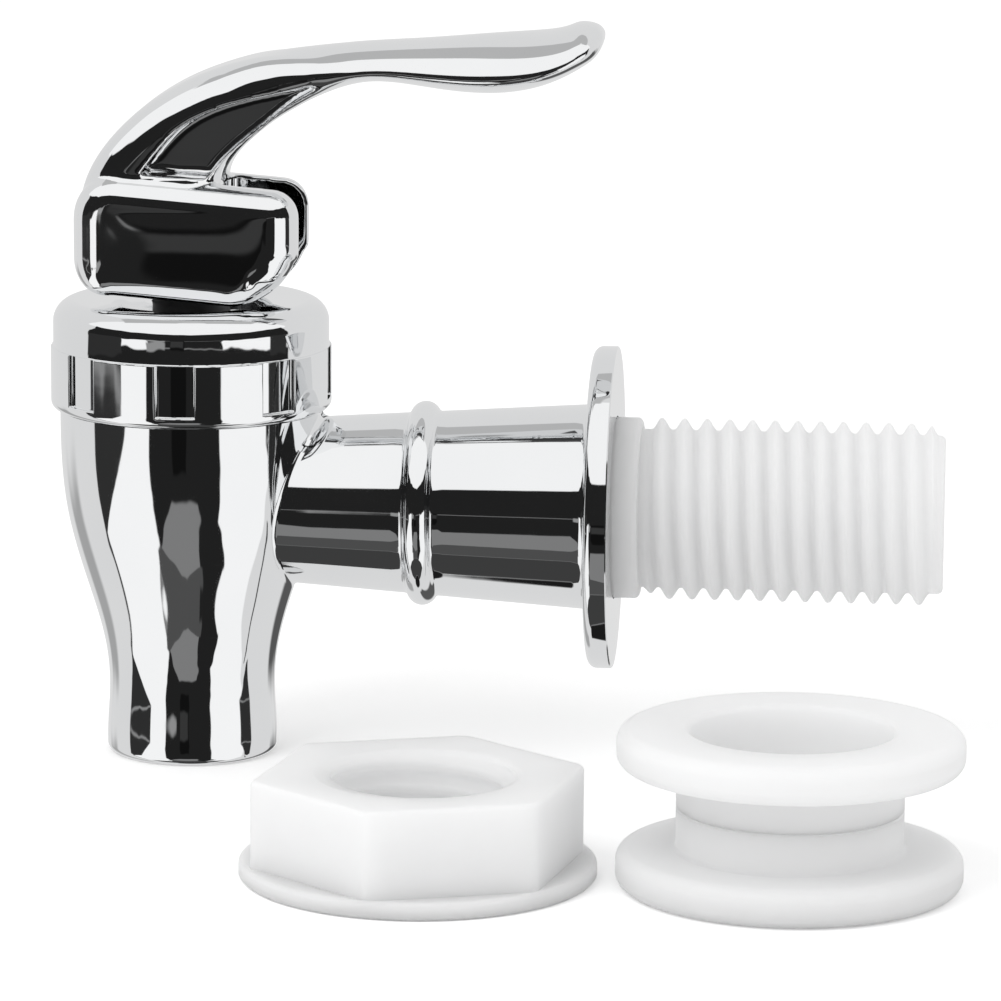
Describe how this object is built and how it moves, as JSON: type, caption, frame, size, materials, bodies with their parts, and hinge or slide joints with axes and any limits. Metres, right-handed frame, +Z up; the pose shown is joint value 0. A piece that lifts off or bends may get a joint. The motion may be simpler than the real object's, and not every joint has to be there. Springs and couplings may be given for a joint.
{
  "type": "beverage dispenser spigot",
  "caption": "Push-lever spigot with a vase-shaped plated body, bonnet cap, flanged shank and translucent threaded nipple, with its loose hex nut and flanged sealing washers.",
  "frame": {"origin": "centre of the wall flange's rear face, on the shank axis", "axes": "+X along the shank into the tank, +Z up along the body axis, away from the spout's mouth"},
  "size_m": [0.0814, 0.0709, 0.066],
  "materials": {
    "chrome_plate": "bright chrome plating on moulded plastic",
    "natural_plastic": "natural translucent moulded plastic",
    "clear_silicone": "translucent moulded silicone, soft sheen",
    "stem_plastic": "white moulded plastic",
    "spring_steel": "bright drawn wire",
    "ring_rubber": "black moulded rubber"
  },
  "bodies": {
    "body": {"faucet_body": "chrome_plate", "bonnet_cap": "chrome_plate", "bonnet_gasket": "clear_silicone", "threaded_nipple": "natural_plastic", "nipple_o_ring": "ring_rubber", "hex_nut": "natural_plastic", "outer_washer": "clear_silicone", "inner_washer": "clear_silicone"},
    "spring_seat": {"spring_washer": "stem_plastic", "stem_spring": "spring_steel"},
    "stem": {"valve_stem": "stem_plastic", "stem_o_ring": "ring_rubber", "seat_cup": "clear_silicone"},
    "lever": {"lever_handle": "chrome_plate"}
  },
  "joints": [
    {"name": "lever_swivel", "type": "hinge", "parent": "body", "child": "spring_seat", "pos_m": [-0.0378, 0, 0.018], "axis": [0, 0, 1], "continuous": true},
    {"name": "stem_lift", "type": "slide", "parent": "spring_seat", "child": "stem", "axis": [0, 0, 1], "range_m": [0, 0.0022], "deforming": ["stem_spring"]},
    {"name": "lever_press", "type": "hinge", "parent": "stem", "child": "lever", "pos_m": [-0.0378, 0, 0.0229], "axis": [0, 1, 0], "range_deg": [0, 30], "stiffness_Nm_per_rad": 0.15, "springref_deg": -11.46}
  ],
  "couplings": [
    {"joint": "stem_lift", "follows": "lever_press", "m_per_rad": 0.00416}
  ]
}
